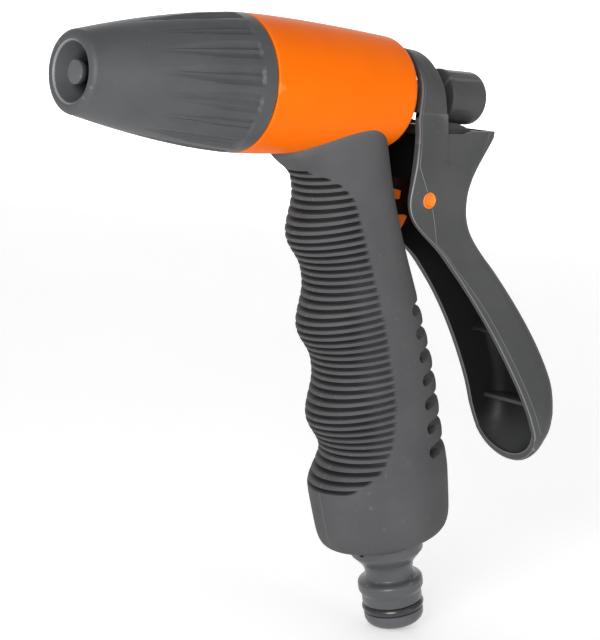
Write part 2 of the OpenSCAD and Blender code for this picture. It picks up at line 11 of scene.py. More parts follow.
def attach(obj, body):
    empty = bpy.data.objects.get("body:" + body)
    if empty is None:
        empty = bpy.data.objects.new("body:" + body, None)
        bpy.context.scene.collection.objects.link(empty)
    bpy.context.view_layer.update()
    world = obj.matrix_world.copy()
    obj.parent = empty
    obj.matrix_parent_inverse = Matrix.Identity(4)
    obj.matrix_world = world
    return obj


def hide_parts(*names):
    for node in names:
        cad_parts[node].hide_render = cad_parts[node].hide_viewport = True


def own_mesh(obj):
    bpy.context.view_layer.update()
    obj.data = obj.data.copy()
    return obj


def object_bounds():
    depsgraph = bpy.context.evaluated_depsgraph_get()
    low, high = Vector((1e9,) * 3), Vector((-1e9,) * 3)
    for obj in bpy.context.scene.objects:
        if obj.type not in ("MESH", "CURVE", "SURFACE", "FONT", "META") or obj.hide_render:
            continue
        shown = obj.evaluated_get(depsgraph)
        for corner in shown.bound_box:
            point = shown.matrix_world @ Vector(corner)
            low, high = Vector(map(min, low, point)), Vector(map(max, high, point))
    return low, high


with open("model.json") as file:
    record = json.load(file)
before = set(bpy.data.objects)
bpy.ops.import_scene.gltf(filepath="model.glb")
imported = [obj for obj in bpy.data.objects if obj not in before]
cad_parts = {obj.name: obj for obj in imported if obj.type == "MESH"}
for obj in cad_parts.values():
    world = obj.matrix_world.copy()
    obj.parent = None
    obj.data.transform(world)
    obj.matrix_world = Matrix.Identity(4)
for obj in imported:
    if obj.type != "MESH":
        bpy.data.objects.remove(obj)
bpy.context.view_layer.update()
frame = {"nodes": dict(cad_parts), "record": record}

# The sizes below are in millimetres. The head is where the spray axis meets the handle's axis.
MM = 0.001
LEAN = math.radians(15)
HANDLE = 134.0
HEAD = Vector((HANDLE * math.sin(LEAN), 0, HANDLE * math.cos(LEAN)))
FORWARD = Vector((1, 0, 0))
ACROSS = Vector((0, 1, 0))
DOWN = Vector((-math.sin(LEAN), 0, -math.cos(LEAN)))
FRONT = Vector((math.cos(LEAN), 0, -math.sin(LEAN)))

# Stations along the spray axis, from the head
BARREL_REAR = -16.3
NOZZLE_REAR = 31.7
NOZZLE_TIP = 79.2
PIVOT = (-25.6, -26.2)          # forward and up
PIVOT_AT = HEAD + Vector((PIVOT[0], 0, PIVOT[1]))
PIN_R = 2.1
BODY_R = 16.9                   # largest radius of the barrel and the spray head
CHAMBER_R = 9.5                 # bore of the valve chamber
NECK_R = 13.2                   # where the barrel carries the spray head
CONE_R = 8.66                   # bore of the spray head's front
STEM_R = 2.2
SIDES = (-1, 1)


def at_head(x, y, z):
    """A point given from the head, forward, across and up."""
    return (HEAD + Vector((x, y, z))) * MM


def moved(offset, place=at_head):
    """The same way of placing points, moved across by an offset."""
    return lambda x, y, z: place(x, y + offset, z)


def at_handle(u, y, v):
    """A point given from the head, forward of the handle's axis, across, and down the handle."""
    return (HEAD + FRONT * u + ACROSS * y + DOWN * v) * MM


def mix(a, b, t):
    """From a, where t is 0, to b, where it is 1."""
    return a + (b - a) * t


def smooth(t):
    """0 up to 0, 1 from 1 on, and an even rise between."""
    t = min(1.0, max(0.0, t))
    return t * t * (3 - 2 * t)


def along(knots, at):
    """The value at a station on a line through (station, value) knots."""
    for (a, p), (b, q) in zip(knots, knots[1:]):
        if at <= b:
            return mix(p, q, max(0.0, (at - a) / (b - a)))
    return knots[-1][1]


def curve(p0, p1, p2, p3, steps):
    """Points on a smooth curve from p0 to p3, without the last one."""
    out = []
    for i in range(steps):
        t = i / steps
        out.append(tuple((1 - t) ** 3 * a + 3 * t * (1 - t) ** 2 * b + 3 * t * t * (1 - t) * c + t ** 3 * d
                         for a, b, c, d in zip(p0, p1, p2, p3)))
    return out


def rounded(outline, radius, steps=4):
    """The outline with each inner corner rounded."""
    out = [outline[0]]
    for before, corner, after in zip(outline, outline[1:], outline[2:]):
        a, c, b = Vector(before), Vector(corner), Vector(after)
        cut = min(radius, (a - c).length * 0.45, (b - c).length * 0.45)
        start, end = c + (a - c).normalized() * cut, c + (b - c).normalized() * cut
        for i in range(steps + 1):
            t = i / steps
            out.append(tuple(start * (1 - t) ** 2 + c * (2 * t * (1 - t)) + end * t * t))
    return out + [outline[-1]]


# ---------------------------------------------------------------- camera

AZIMUTH = math.radians(139.82)
ELEVATION = math.radians(7.37)
ROLL = math.radians(5.0)
FOCAL = 2200                    # in pixels of a picture this high
PICTURE_HEIGHT = 640
EYE = (358.9, 419.4, 12.8)      # the camera's place from the head


def place_camera():
    """Looks at the object from its front left, a little above, with the picture turned by a few degrees."""
    back = Vector((math.sin(AZIMUTH) * math.cos(ELEVATION), -math.cos(AZIMUTH) * math.cos(ELEVATION),
                   math.sin(ELEVATION)))
    right = (-back).cross(Vector((0, 0, 1))).normalized()
    up = right.cross(-back)
    turned_right = right * math.cos(ROLL) + up * math.sin(ROLL)
    turned_up = up * math.cos(ROLL) - right * math.sin(ROLL)
    lens = bpy.data.cameras.new("camera")
    lens.sensor_width = 36
    lens.lens = FOCAL * lens.sensor_width / PICTURE_HEIGHT
    camera = bpy.data.objects.new("camera", lens)
    bpy.context.scene.collection.objects.link(camera)
    camera.matrix_world = Matrix((turned_right, turned_up, back)).transposed().to_4x4()
    camera.location = at_head(*EYE)
    bpy.context.scene.camera = camera


place_camera()


# ---------------------------------------------------------------- finishes

class Value:
    """A number over the surface, or a vector or colour, as a socket of a material's nodes."""

    def __init__(self, finish, socket):
        self.finish, self.socket = finish, socket

    def maths(self, operation, *values):
        return self.finish.node("ShaderNodeMath", {"operation": operation}, *values)

    def __add__(self, other):
        return self.maths("ADD", self, other)

    def __radd__(self, other):
        return self.maths("ADD", other, self)

    def __sub__(self, other):
        return self.maths("SUBTRACT", self, other)

    def __rsub__(self, other):
        return self.maths("SUBTRACT", other, self)

    def __mul__(self, other):
        return self.maths("MULTIPLY", self, other)

    def __rmul__(self, other):
        return self.maths("MULTIPLY", other, self)

    def __abs__(self):
        return self.maths("ABSOLUTE", self)

    def between(self, low, high):
        """0 at low and below, 1 at high and above, smooth between."""
        return self.finish.node("ShaderNodeMapRange", {"interpolation_type": "SMOOTHSTEP"},
                                self, low, high, 0.0, 1.0)


class Finish:
    """A material, its shader and the nodes that feed it."""

    def __init__(self, name, **constants):
        self.material = bpy.data.materials.new(name)
        self.material.use_nodes = True
        self.tree = self.material.node_tree
        self.shader = self.tree.nodes["Principled BSDF"]
        for socket, value in constants.items():
            self.shader.inputs[socket.replace("_", " ")].default_value = value

    def node(self, kind, settings=None, *values, out=0, **named):
        """A node with its settings, then the values or links of its sockets. Gives one of its outputs."""
        node = self.tree.nodes.new(kind)
        for name, value in (settings or {}).items():
            setattr(node, name, value)
        for key, value in [*enumerate(values), *((k.replace("_", " "), v) for k, v in named.items())]:
            if isinstance(value, Value):
                self.tree.links.new(value.socket, node.inputs[key])
            elif value is not None:
                node.inputs[key].default_value = value
        return Value(self, node.outputs[out])

    def place(self):
        return self.node("ShaderNodeTexCoord", out="Object")

    def parts(self, place):
        """The X, Y and Z of a point as three values."""
        node = self.tree.nodes.new("ShaderNodeSeparateXYZ")
        self.tree.links.new(place.socket, node.inputs[0])
        return [Value(self, s) for s in node.outputs]

    def noise(self, place, scale, detail):
        return self.node("ShaderNodeTexNoise", {}, Vector=place, Scale=scale, Detail=detail, Roughness=0.55)

    def blend(self, share, a, b):
        """Colour a where share is 0 and colour b where it is 1."""
        node = self.tree.nodes.new("ShaderNodeMix")
        node.data_type = "RGBA"
        for index, value in ((0, share), (6, a), (7, b)):
            if isinstance(value, Value):
                self.tree.links.new(value.socket, node.inputs[index])
            else:
                node.inputs[index].default_value = value if index == 0 else (*value, 1.0)
        return Value(self, node.outputs[2])

    def edges(self):
        """1 on the worn outer edges."""
        return self.node("ShaderNodeNewGeometry", out="Pointiness").between(0.52, 0.62)

    def mark(self, name):
        """A mark that the piece carries at its points."""
        return self.node("ShaderNodeAttribute", {"attribute_name": name}, out="Fac")

    def feed(self, **sockets):
        for name, value in sockets.items():
            self.tree.links.new(value.socket, self.shader.inputs[name.replace("_", " ")])

    def bump(self, height, strength, distance):
        """Raises the surface by a height, up to a distance in millimetres."""
        self.feed(Normal=self.node("ShaderNodeBump", {}, Height=height, Strength=strength,
                                   Distance=distance * MM))


def moulded(name, colour, light, rough, grain=0.03, gloss=0.22, coat=0.0, wear=0.5):
    """Moulded plastic: cloudy colour, fine grain, faint flow marks, edges rubbed lighter, painted highlight lines and
    painted shade.
    """
    f = Finish(name, Specular_IOR_Level=gloss, Coat_Weight=coat, Coat_Roughness=0.18)
    place = f.place()
    cloud = f.noise(place, 55.0, 4.0)
    speck = f.noise(place, 900.0, 2.0)
    fine = f.noise(place, 2600.0, 2.0)
    tone = f.blend(cloud.between(0.3, 0.75), colour, light)
    tone = f.blend(f.edges() * wear, tone, tuple(min(1.0, c * 2.2 + 0.03) for c in colour))
    tone = f.blend(speck.between(0.66, 0.74) * 0.25, tone, tuple(min(1.0, c * 1.8 + 0.02) for c in colour))
    # painted highlight: light lines along the lever's rims and crease and round the spray head's lip
    tone = f.blend(f.mark("line"), tone, (0.42, 0.42, 0.42))
    # painted shade: near black in hollows, grooves, holes and on the insides of the lever and spray head
    tone = f.blend(f.mark("deep"), tone, tuple(c * 0.14 for c in colour))
    f.feed(Base_Color=tone, Roughness=(rough - 0.06) + cloud * 0.08 + speck * 0.06)
    f.bump(fine * 0.6 + speck * 0.4 + cloud * 0.8, 0.35, grain)
    return f


def orange_plastic():
    """Glossy orange moulding with faint sink marks, and near-black painted shade where it carries that mark."""
    f = Finish("body_orange", Specular_IOR_Level=0.06)
    place = f.place()
    cloud, fine = f.noise(place, 40.0, 3.0), f.noise(place, 1500.0, 2.0)
    tone = f.blend(cloud.between(0.3, 0.8), (0.76, 0.126, 0.0005), (0.82, 0.142, 0.001))
    tone = f.blend(f.edges() * 0.35, tone, (0.9, 0.3, 0.06))
    # painted shade: the lug between the lever's cheeks darkened near black
    tone = f.blend(f.mark("deep"), tone, (0.006, 0.002, 0.002))
    f.feed(Base_Color=tone, Roughness=0.36 + cloud * 0.1 + fine * 0.04)
    f.bump(cloud * 0.8 + fine * 0.15, 0.2, 0.03)
    return f


def grip_rubber():
    """Soft rubber, matt and a little dusty, with a mould seam down its middle."""
    f = Finish("grip_rubber", Specular_IOR_Level=0.2)
    place = f.place()
    cloud, fine, speck = f.noise(place, 70.0, 4.0), f.noise(place, 2200.0, 2.0), f.noise(place, 700.0, 2.0)
    seam = 1 - abs(f.parts(place)[1]).between(0.00008, 0.00028)
    tone = f.blend(cloud.between(0.3, 0.75), (0.062, 0.062, 0.065), (0.078, 0.078, 0.081))
    tone = f.blend(f.edges() * 0.25, tone, (0.15, 0.15, 0.155))
    tone = f.blend(speck.between(0.68, 0.74) * 0.35, tone, (0.15, 0.15, 0.15))
    tone = f.blend(seam * 0.5, tone, (0.12, 0.12, 0.12))
    # painted shade in the fine grooves, the cuts across the back and the drain hole
    tone = f.blend(f.mark("deep"), tone, (0.007, 0.007, 0.008))
    f.feed(Base_Color=tone, Roughness=0.62 + cloud * 0.1 + speck * 0.06)
    f.bump(fine * 0.5 + speck * 0.5 - seam * 2.0, 0.4, 0.05)
    return f


def metal(name, colour, dark, rough, streak):
    """Turned or drawn metal with fine tool marks along one way and a dull patina."""
    f = Finish(name, Metallic=1.0)
    place = f.node("ShaderNodeMapping", {}, f.place(), None, None, streak)
    marks, cloud = f.noise(place, 900.0, 2.0), f.noise(f.place(), 120.0, 3.0)
    tone = f.blend(cloud.between(0.35, 0.75), colour, dark)
    f.feed(Base_Color=f.blend(marks.between(0.4, 0.7) * 0.3, tone, dark), Roughness=rough + marks * 0.15)
    f.bump(marks, 0.2, 0.02)
    return f


def seal_rubber(name, rough):
    """Moulded black nitrile: smooth, oily in places, with a faint flash line."""
    f = Finish(name, Specular_IOR_Level=0.5)
    place = f.place()
    cloud, fine = f.noise(place, 160.0, 3.0), f.noise(place, 1800.0, 2.0)
    f.feed(Base_Color=f.blend(cloud.between(0.3, 0.7), (0.018, 0.018, 0.018), (0.03, 0.03, 0.03)),
           Roughness=rough + cloud * 0.15)
    f.bump(fine + cloud, 0.2, 0.02)
    return f


FINISHES = {
    "body_orange": orange_plastic(),
    "pivot_orange": moulded("pivot_orange", (0.75, 0.2, 0.02), (0.82, 0.25, 0.035), 0.4, 0.02, gloss=0.12,
                            wear=0.2),
    "grip_rubber": grip_rubber(),
    "nozzle_plastic": moulded("nozzle_plastic", (0.055, 0.057, 0.06), (0.07, 0.073, 0.076), 0.42, 0.05),
    "tube_plastic": moulded("tube_plastic", (0.05, 0.05, 0.053), (0.065, 0.065, 0.068), 0.45),
    "pin_plastic": moulded("pin_plastic", (0.075, 0.08, 0.084), (0.09, 0.094, 0.098), 0.35),
    "lever_plastic": moulded("lever_plastic", (0.05, 0.051, 0.052), (0.064, 0.065, 0.066), 0.48, 0.04),
    "knob_plastic": moulded("knob_plastic", (0.05, 0.05, 0.051), (0.064, 0.065, 0.066), 0.42, 0.04),
    "inlet_plastic": moulded("inlet_plastic", (0.06, 0.062, 0.067), (0.078, 0.08, 0.086), 0.36, 0.04,
                             gloss=0.4, coat=0.1),
    "plug_plastic": moulded("plug_plastic", (0.25, 0.25, 0.25), (0.3, 0.3, 0.3), 0.45),
    "ring_rubber": seal_rubber("ring_rubber", 0.12),
    "washer_rubber": seal_rubber("washer_rubber", 0.4),
    "seat_steel": metal("seat_steel", (0.6, 0.6, 0.6), (0.4, 0.4, 0.4), 0.25, (1.0, 0.1, 0.1)),
    "screw_steel": metal("screw_steel", (0.6, 0.6, 0.6), (0.42, 0.42, 0.42), 0.3, (0.1, 1.0, 1.0)),
    "spring_steel": metal("spring_steel", (0.6, 0.6, 0.62), (0.42, 0.42, 0.45), 0.25, (1.0, 1.0, 1.0)),
    "shim_steel": metal("shim_steel", (0.58, 0.58, 0.6), (0.4, 0.4, 0.42), 0.35, (1.0, 1.0, 1.0)),
    "stem_brass": metal("stem_brass", (0.5, 0.28, 0.12), (0.3, 0.15, 0.07), 0.3, (0.1, 1.0, 1.0)),
    "nut_brass": metal("nut_brass", (0.55, 0.36, 0.15), (0.35, 0.2, 0.08), 0.3, (0.2, 1.0, 1.0)),
}


# ---------------------------------------------------------------- shaping

MERGE = 2e-7                    # points nearer than this, in metres, are one


def ring_points(r, count, middle=(0, 0)):
    """Points round a circle."""
    return [(middle[0] + r * math.cos(a), middle[1] + r * math.sin(a))
            for a in (math.tau * i / count for i in range(count))]


def turned(outline, axis=FORWARD, steps=96, closed=False, centre=HEAD, radial=ACROSS):
    """A shape turned about an axis through the centre, from (station, radius) points."""
    bm = bmesh.new()
    points = [bm.verts.new((centre + axis * a + radial * r) * MM) for a, r in outline]
    edges = [bm.edges.new(pair) for pair in zip(points, points[1:])]
    if closed:
        edges.append(bm.edges.new((points[-1], points[0])))
    bmesh.ops.spin(bm, geom=points + edges, cent=centre * MM, axis=axis, angle=math.tau, steps=steps,
                   use_merge=True)
    return tidied(bm)


def rod(sides, r, length, centre, turn):
    """A round or many-sided bar about a point, laid down from upright by a quarter turn about an axis."""
    bm = bmesh.new()
    bmesh.ops.create_cone(bm, cap_ends=True, segments=sides, radius1=r * MM, radius2=r * MM,
                          depth=length * MM,
                          matrix=Matrix.Translation(centre) @ Matrix.Rotation(math.pi / 2, 4, turn))
    return bm


def wrapped(rows, columns, place, name):
    """A skin of rows by columns of faces, closed round its columns. Each point's place and mark come from its
    row and column."""
    bm = bmesh.new()
    bmesh.ops.create_grid(bm, x_segments=rows, y_segments=columns, size=0.5)
    layer = bm.verts.layers.float.new(name)
    for v in bm.verts:
        v.co, v[layer] = place(round((v.co.x + 0.5) * rows), round((v.co.y + 0.5) * columns) % columns)
    return tidied(bm)


def marked(bm, name, value):
    """The shape with one mark at all its points."""
    layer = bm.verts.layers.float.get(name) or bm.verts.layers.float.new(name)
    for v in bm.verts:
        v[layer] = value
    return bm


def prism(outline, half, place=at_head):
    """A flat outline of (forward, up) points, as thick as half to each side of the middle."""
    bm = bmesh.new()
    face = bm.faces.new([bm.verts.new(place(x, -half, z)) for x, z in outline])
    made = bmesh.ops.extrude_face_region(bm, geom=[face])["geom"]
    bmesh.ops.translate(bm, vec=ACROSS * 2 * half * MM, verts=points_of(made))
    return tidied(bm)


def points_of(geometry):
    """The points among what an operator made."""
    return [g for g in geometry if isinstance(g, bmesh.types.BMVert)]


def closed_up(bm):
    """A grid's sides joined where they meet, and its open ends filled."""
    bmesh.ops.remove_doubles(bm, verts=bm.verts, dist=MERGE)
    bmesh.ops.holes_fill(bm, edges=[e for e in bm.edges if e.is_boundary], sides=0)
    return tidied(bm)


def tidied(bm):
    """The shape with its doubles merged and its faces pointing outwards."""
    bmesh.ops.remove_doubles(bm, verts=bm.verts, dist=MERGE)
    bmesh.ops.recalc_face_normals(bm, faces=bm.faces)
    return bm


def ease(bm, width, segments=2, sharp=30):
    """Rounds every edge that turns by more than sharp degrees."""
    edges = [e for e in bm.edges if len(e.link_faces) == 2 and e.calc_face_angle() > math.radians(sharp)]
    bmesh.ops.bevel(bm, geom=edges, offset=width * MM, offset_type="OFFSET", segments=segments, profile=0.5,
                    affect="EDGES", material=-1, clamp_overlap=True)
    return bm


def joined(*shapes):
    """Several shapes in one mesh."""
    for shape in shapes[1:]:
        spare = bpy.data.meshes.new("spare")
        shape.to_mesh(spare)
        shape.free()
        shapes[0].from_mesh(spare)
        bpy.data.meshes.remove(spare)
    return shapes[0]


def as_object(bm, name):
    """The shape as an object in the scene."""
    mesh = bpy.data.meshes.new(name)
    bm.to_mesh(mesh)
    bm.free()
    made = bpy.data.objects.new(name, mesh)
    bpy.context.scene.collection.objects.link(made)
    return made


def cut(bm, *cutters):
    """The shape with the cutters taken out of it."""
    blank = as_object(bm, "blank")
    spare = [as_object(c, "cutter") for c in cutters]
    for cutter in spare:
        step = blank.modifiers.new("cut", "BOOLEAN")
        step.operation, step.solver, step.object = "DIFFERENCE", "EXACT", cutter
    shape = blank.evaluated_get(bpy.context.evaluated_depsgraph_get())
    result = bmesh.new()
    result.from_mesh(shape.to_mesh())
    shape.to_mesh_clear()
    for thing in (blank, *spare):
        mesh = thing.data
        bpy.data.objects.remove(thing)
        bpy.data.meshes.remove(mesh)
    return result


def piece(bm, name, body, slot, *nodes, sharp=35):
    """Makes the shape a piece of the object: its finish, the body it rides on and the nodes it stands for."""
    made = as_object(bm, name)
    made.data.polygons.foreach_set("use_smooth", [True] * len(made.data.polygons))
    made.data.set_sharp_from_angle(angle=math.radians(sharp))
    made.data.materials.append(FINISHES[slot].material)
    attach(made, body)
    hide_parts(*nodes)
    return made


# ---------------------------------------------------------------- body

BARREL_ROUND = 2.6              # radius of the barrel's rear edge
BOSS_R, BOSS_HALF = 4.2, 7.6    # the lug's boss round the pivot pin
LUG_PLATE = [(-25.6, -22.2), (-8, -19.4), (-6, -36), (-12, -38.4), (-27.2, -30.1)]
LUG_ENDS = [[(-18.7, -24.1), (-10, -22.6), (-10, -26.2), (-18.4, -26.4)],
            [(-21.7, -30.6), (-20.6, -30.2), (-12, -30.4), (-12, -37.4), (-19.4, -34.6)]]


def barrel_r(x):
    """The barrel narrows towards its rear."""
    return BODY_R - 2.8 * (max(0.0, NOZZLE_REAR - 4 - x) / 44) ** 1.5


def make_body():
    """The barrel, the core inside the grip and the lug that carries the lever's pin."""
    edge = BARREL_REAR + BARREL_ROUND
    rim = barrel_r(edge) - BARREL_ROUND
    back = [(edge - BARREL_ROUND * math.cos(a), rim + BARREL_ROUND * math.sin(a))
            for a in (math.pi / 2 * i / 8 for i in range(9))]
    side = [(x, barrel_r(x)) for x in (mix(edge, NOZZLE_REAR - 0.5, i / 30) for i in range(1, 31))]
    barrel = turned([(-11.9, 4.7), (-11.9, 5.95), (BARREL_REAR, 5.95), *back, *side,
                     (NOZZLE_REAR - 0.3, 16.7), (NOZZLE_REAR - 0.3, NECK_R), (42.7, NECK_R), (43.7, 12.2),
                     (43.7, 11.7), (12, 11.7), (12, CHAMBER_R), (-8, CHAMBER_R), (-8, 2.6), (-9.4, 2.6), (-9.4, 4.7)],
                    steps=144, closed=True)
    core = turned([(17, 0), (17, 9.7), (115.9, 12.7), (115.9, 0)], DOWN, 64)
    bmesh.ops.scale(core, vec=(1, 0.84, 1), verts=core.verts)
    boss = turned([(-BOSS_HALF, 2.2), (-BOSS_HALF, BOSS_R), (BOSS_HALF, BOSS_R), (BOSS_HALF, 2.2)],
                  ACROSS, 48, True, PIVOT_AT, FORWARD)
    plates = [prism(LUG_PLATE, 0.7, moved(s * 5.9)) for s in SIDES]
    ends = [ease(prism(outline, 0.9, moved(s * 6.7)), 0.3) for s in SIDES for outline in LUG_ENDS]
    # painted shadow on the lug: near black on the boss and plates, less on the arm ends
    lug = joined(*[marked(part, "deep", 1.0) for part in (ease(boss, 0.25), *plates)],
                 *[marked(part, "deep", 0.62) for part in ends])
    piece(joined(barrel, core, lug), "orange_body", "housing", "body_orange", "body")


make_body()


# ---------------------------------------------------------------- grip

RIB = 1.987                     # one fine rib and its groove
RIBS_FROM = 16.62
RIBS_TO = RIBS_FROM + 43 * RIB
GROOVE_DEPTH = 0.85
NOTCH_STEP = 6.28
NOTCH_R = 1.55
NOTCHES = [58.8 + NOTCH_STEP * i for i in range(7)]
# how far forward of the handle's axis the ends of the cuts across the back are
NOTCH_HOLES = [(58.8, -9.0), (65, -9.4), (77, -9.2), (89, -8.2), (96.5, -7.3)]
GRIP_END = 122.0
FOOT = 18                       # height of the foot that narrows towards the inlet
# how far forward of the handle's axis the fine grooves end
GROOVE_ENDS = [(17.6, 15.0), (19.6, 11.6), (21.6, 9.4), (23.6, 8.0), (25.6, 7.0), (31, 6.3), (36, 5.9),
               (45, 4.5), (55, 3.5), (65, 2.8), (73, 2.6), (81, 3.1), (86, 4.1), (91, 5.6), (95, 7.6),
               (97.1, 9.6), (99.1, 12.9), (101.1, 16.6), (103, 21)]


def foot(v):
    """How much the foot narrows at a height."""
    t = max(0.0, (v - GRIP_END + FOOT) / FOOT)
    return 1 - 0.07 * t - 0.2 * t ** 8


def lift(v, c):
    """How far the foot's lower edge draws up, more so at the front."""
    return (1.4 + 0.5 * c) * max(0.0, (v - GRIP_END + FOOT) / FOOT) ** 6


def front_at(v):
    """The grip's reach forward: a bump between each two fingers, and the bell of the foot."""
    ridge = 4.2 * ((1 + math.cos(math.tau * (min(v, 93) - 34) / 24.3)) / 2) ** 1.3
    bell = smooth((v - 93) / 9)
    flare = 2.6 * (1 - smooth((v - 12) / 8))
    return foot(v) * (flare + max(14.4 + ridge * (1 - bell), 14.4 + 5.8 * bell))


def rear_at(v):
    """The grip's reach to the rear."""
    return foot(v) * (11.2 + 8.5 * smooth((v - 22) / 62))


def side_at(v):
    """Half the grip's width."""
    return foot(v) * (12.4 + 0.024 * (v - 15) + 1.0 * smooth((v - 65) / 40) + 0.8 * smooth((v - 93) / 9))


def lobe(v):
    """How far the back draws in beside the cuts across it."""
    if not NOTCHES[0] - 3.1 < v < NOTCHES[-1] + 3.1:
        return 0.0
    off = abs(((v - NOTCHES[0]) / NOTCH_STEP + 0.5) % 1 - 0.5) * 2
    return 0.9 * (1 - off) ** 2


def grip_point(v, a):
    """A point of the grip's skin, and the painted shade it gets for how far down a groove it is."""
    c, s = math.cos(a), math.sin(a)
    front = front_at(v) * c
    depth = groove = 0.0
    if c > 0 and RIBS_FROM < v < RIBS_TO:
        phase = (v - RIBS_FROM) / RIB % 1
        groove = (smooth((0.31 - abs(phase - 0.5)) / 0.18)
                  * smooth((front - along(GROOVE_ENDS, v)) / 0.5 + 0.5))
        depth = GROOVE_DEPTH * groove
    if c > 0:
        # the grooves get less painted shade towards the grip's sides and lower down
        less_groove_shade = 0.4 * smooth((12 - front) / 5) * smooth((v - 38) / 12)
        return front - depth * c, (side_at(v) - depth) * s, groove * (1 - less_groove_shade)
    return (rear_at(v) - lobe(v) * min(1.0, -c * 2)) * c, side_at(v) * s, 0.0


def saddle(u, y):
    """How far down the handle the barrel's surface is, at a point across the handle."""
    r = barrel_r(u - 4) - 0.15
    return (math.sqrt(max(0.0, r * r - y * y)) - u * math.sin(LEAN)) / math.cos(LEAN)


def make_drain():
    """The cutter of the small hole where the grip meets the inlet."""
    # the hole's faces carry painted shade
    return marked(rod(24, 1.0, 3, at_handle(9.75, 1.0, 122.3), "Y"), "deep", 1.0)


def make_grip():
    """The rubber sleeve: finger bumps, fine grooves in front, cuts across the back, a slot for the lug."""
    around = 168
    levels = [RIBS_FROM + RIB * i / 10 for i in range(int((RIBS_TO - RIBS_FROM) / RIB * 10) + 1)]
    levels += [mix(RIBS_TO + 0.6, GRIP_END - 5, i / 14) for i in range(15)]
    levels += [GRIP_END - d for d in (4, 3.2, 2.5, 1.9, 1.4, 1.0, 0.65, 0.35, 0.1, 0)]
    rings = [("inside", 22.0), ("top", 0.0), ("top", 0.25), ("top", 0.5), ("top", 0.75)]
    rings += [("side", v) for v in levels]
    rings += [("under", GRIP_END - 0.6), ("boss", GRIP_END - 0.3), ("boss", 117.0), ("inside", 117.0)]

    def place(row, column):
        kind, v = rings[row % len(rings)]
        a, deep = math.tau * column / around, 0.0
        if kind == "side":
            u, y, deep = grip_point(v, a)
            v -= lift(v, math.cos(a))
        elif kind == "top":
            u, y, _ = grip_point(13, a)
            v = mix(saddle(u, y), RIBS_FROM - 0.3, v)
            if v > saddle(u, y):
                u, y, _ = grip_point(v, a)
        elif kind == "under":
            u, y = (mix(p, 9.9 * q, 0.55)
                    for p, q in zip(grip_point(GRIP_END, a), (math.cos(a), math.sin(a))))
        else:
            r = 9.8 if kind == "boss" else mix(9.7, 12.9, v / 116)
            u, y = r * math.cos(a), r * math.sin(a) * (1 if kind == "boss" else 0.85)
        return at_handle(u, y, v), deep

    skin = wrapped(len(rings), around, place, "deep")
    ring = ring_points(NOTCH_R, 28)
    cuts = []
    for v in NOTCHES:
        # one cut across the whole back, and a deeper end on each side
        side = 7.6 + 0.05 * (v - 58)
        for hole, low, high in ((5.9 - rear_at(v), -20, 20), (along(NOTCH_HOLES, v), side, 20),
                                (along(NOTCH_HOLES, v), -20, -side)):
            outline = [(hole + a - (14 if a < -0.01 else 0), v + b) for a, b in ring]
            # the faces these cuts leave carry painted shade
            cuts.append(marked(prism(outline, (high - low) / 2, moved((low + high) / 2, at_handle)),
                               "deep", 2.5))
    slot = prism([(-30, 16), (-3, 16), (-3, 37), (-30, 41)], 7.8, at_handle)
    piece(cut(skin, *cuts, slot, make_drain()), "rubber_grip", "housing", "grip_rubber", "grip_sleeve",
          sharp=40)


make_grip()


# ---------------------------------------------------------------- spray head, its tube and pin

FLUTES = 16
FLUTES_FROM, FLUTES_TO = 35.4, 68.0
NOSE_ROUND = 1.7


def nozzle_r(x):
    """The spray head narrows towards its tip."""
    return BODY_R - 7.0 * (max(0.0, x - NOZZLE_REAR) / 45.8) ** 1.57


def make_spray_head():
    """The turning head, with a dished front and tapering flutes, each with a rib down its middle."""
    edge = NOZZLE_TIP - NOSE_ROUND
    outside = [(x, nozzle_r(x)) for x in (mix(NOZZLE_REAR + 0.4, edge, i / 70) for i in range(71))]
    nose = [(edge + NOSE_ROUND * math.sin(a), 8.2 + NOSE_ROUND * math.cos(a))
            for a in (math.pi / 2 * i / 10 for i in range(1, 11))]
    dish = rounded([(NOZZLE_TIP, 8.1), (NOZZLE_TIP - 0.1, 7.5), (NOZZLE_TIP - 0.6, 7.0),
                    (NOZZLE_TIP - 3.2, 5.9), (NOZZLE_TIP - 6, 4.3), (NOZZLE_TIP - 6.4, 3.9),
                    (NOZZLE_TIP - 8.5, 3.9)], 0.5)
    inside = [(65.6, CONE_R), (58.2, CONE_R), (58.2, 10.4), (56.3, 10.4), (56.3, CONE_R), (47.4, CONE_R),
              (46.4, 10.6), (46.4, 13.5), (NOZZLE_REAR, 13.5), (NOZZLE_REAR, 16.5)]
    head = turned([*outside, *nose, *dish[1:], *inside], steps=FLUTES * 14, closed=True)
    line, deep = (head.verts.layers.float.new(name) for name in ("line", "deep"))
    for v in head.verts:
        x, y, z = (v.co / MM - HEAD)
        r = math.hypot(y, z)
        within = r < nozzle_r(x) - 0.4
        if within or not FLUTES_FROM < x < FLUTES_TO:
            # painted shade darkening into the dish towards the bore, and a thin ring of painted highlight on the lip
            v[deep] = smooth((NOZZLE_TIP - 3.6 - x) / 1.5) if within else 0.0
            v[line] = 0.35 if abs(r - 7.25) < 0.2 and x > NOZZLE_TIP - 0.7 else 0.0
            continue
        # how many degrees the point is off a flute's middle, and half the flute's width there
        turn = (math.degrees(math.atan2(z, y)) - 8) / (360 / FLUTES)
        off = abs(turn - round(turn)) * 360 / FLUTES
        share = smooth((FLUTES_TO - x) / 27)
        wide = mix(1.5, 8.2, share)
        rib = 0.55 * max(0.0, 1 - off / (0.36 * wide)) ** 1.3
        cut_in = share * smooth((x - FLUTES_FROM) / 0.4) * (max(0.0, 1 - (off / wide) ** 2) ** 0.8 - rib)
        v.co = (HEAD + Vector((x, y * (r - cut_in) / r, z * (r - cut_in) / r))) * MM
    piece(head, "fluted_spray_head", "spray_head", "nozzle_plastic", "spray_nozzle", sharp=30)


